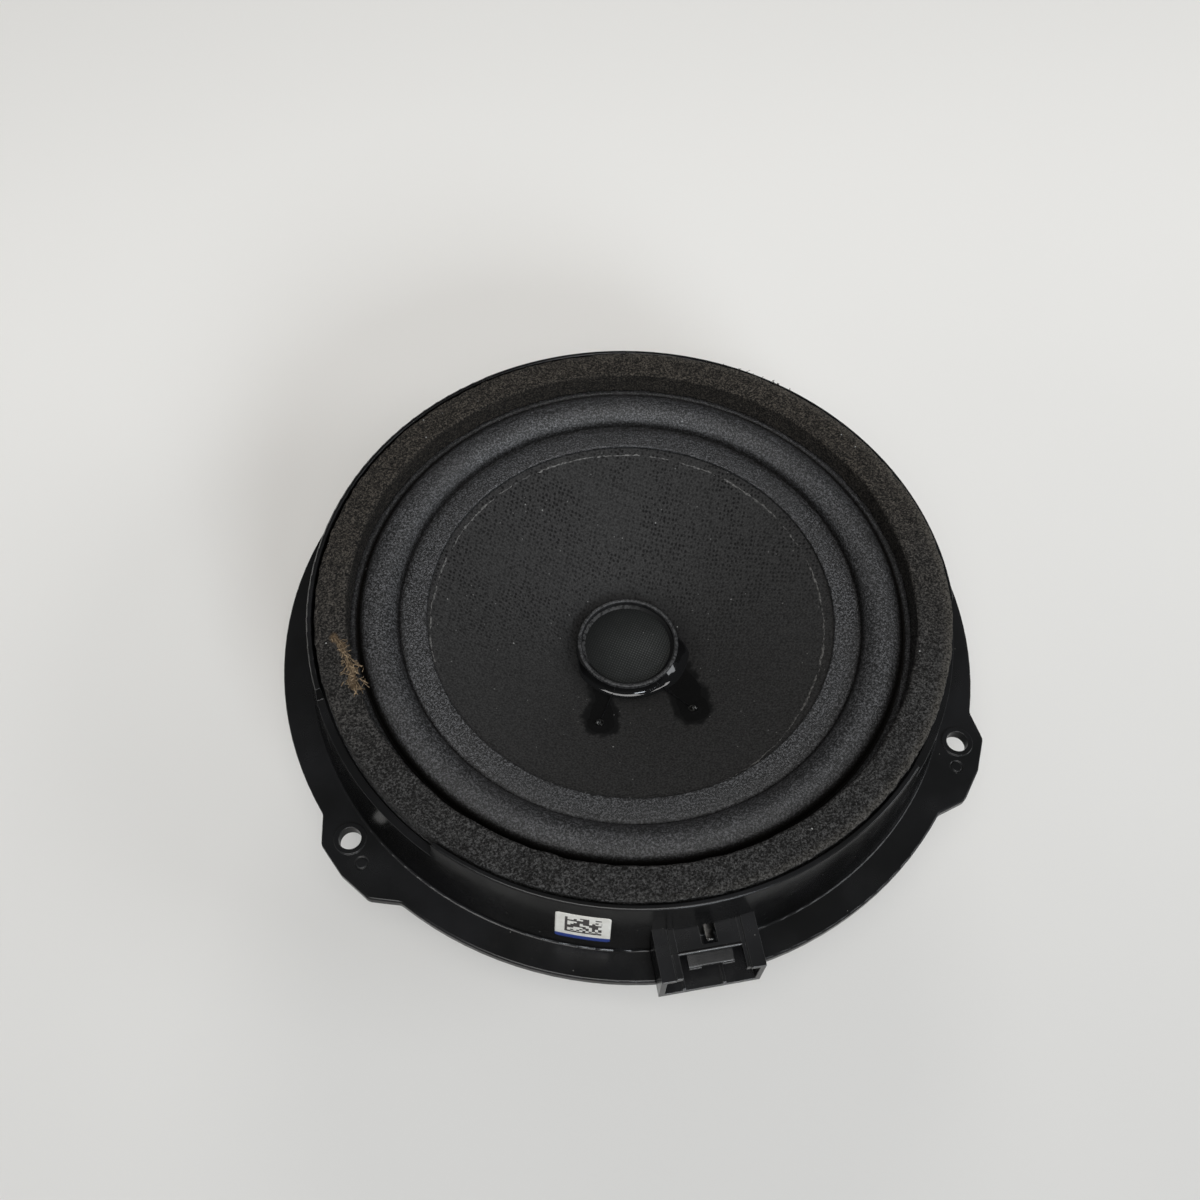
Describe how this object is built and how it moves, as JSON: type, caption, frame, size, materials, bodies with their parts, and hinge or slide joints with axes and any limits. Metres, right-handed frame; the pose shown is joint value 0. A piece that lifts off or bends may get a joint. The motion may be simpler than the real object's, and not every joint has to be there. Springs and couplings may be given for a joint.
{
  "type": "car door speaker",
  "caption": "Round single-cone car door speaker: plastic basket with a lugged flange, foam rubber surround, foam gasket, side plug socket and ring magnet motor.",
  "frame": {"origin": "on the speaker axis, at the rear face of the mounting flange", "axes": "+Z along the speaker axis to the front (the cabin side); the plug socket is on -Y; +X completes the right-handed frame"},
  "size_m": [0.186, 0.1933, 0.0697],
  "materials": {
    "basket_plastic": "semi-gloss black moulded plastic",
    "socket_plastic": "semi-gloss black moulded plastic",
    "tinned_blade": "tin plated",
    "open_cell_foam": "open-cell foam, brownish black",
    "surround_foam_rubber": "foamed rubber with a fine sparkle",
    "spider_cloth": "resin-stiffened cloth",
    "clear_brown_glue": "cured adhesive",
    "zinc_plated_steel": "zinc plated",
    "ferrite": "sintered ferrite",
    "label_paper": "off-white label with a blue strip",
    "braided_lead": "tinned copper braid",
    "solder": "bright solder",
    "cone_paper": "dark embossed paper",
    "former_film": "dark film",
    "copper_wire": "enamelled wire",
    "collar_paper": "dark card",
    "cap_cloth": "fine dark cloth",
    "black_glue": "glossy black adhesive",
    "eyelet_brass": "dulled brass",
    "edge_glue": "thin pale glue"
  },
  "bodies": {
    "frame_body": {"basket": "basket_plastic", "connector_housing": "socket_plastic", "terminal_blades": "tinned_blade", "foam_gasket": "open_cell_foam", "surround": "surround_foam_rubber", "spider": "spider_cloth", "spider_edge_glue": "clear_brown_glue", "top_plate": "zinc_plated_steel", "ring_magnet": "ferrite", "yoke": "zinc_plated_steel", "motor_adhesive": "clear_brown_glue", "wall_label": "label_paper", "tinsel_leads": "braided_lead", "solder_joints": "solder"},
    "cone_body": {"cone": "cone_paper", "voice_coil_former": "former_film", "coil_winding": "copper_wire", "former_collar": "collar_paper", "dust_cap": "cap_cloth", "dust_cap_glue": "black_glue", "neck_adhesive": "black_glue", "lead_adhesive": "black_glue", "lead_eyelets": "eyelet_brass", "coil_leads": "copper_wire", "edge_glue": "edge_glue", "spider_neck_glue": "clear_brown_glue"}
  },
  "joints": [
    {"name": "cone_stroke", "type": "slide", "parent": "frame_body", "child": "cone_body", "axis": [0, 0, 1], "range_m": [-0.004, 0.004], "stiffness_N_per_m": 1500, "deforming": ["surround", "spider", "tinsel_leads"]}
  ]
}
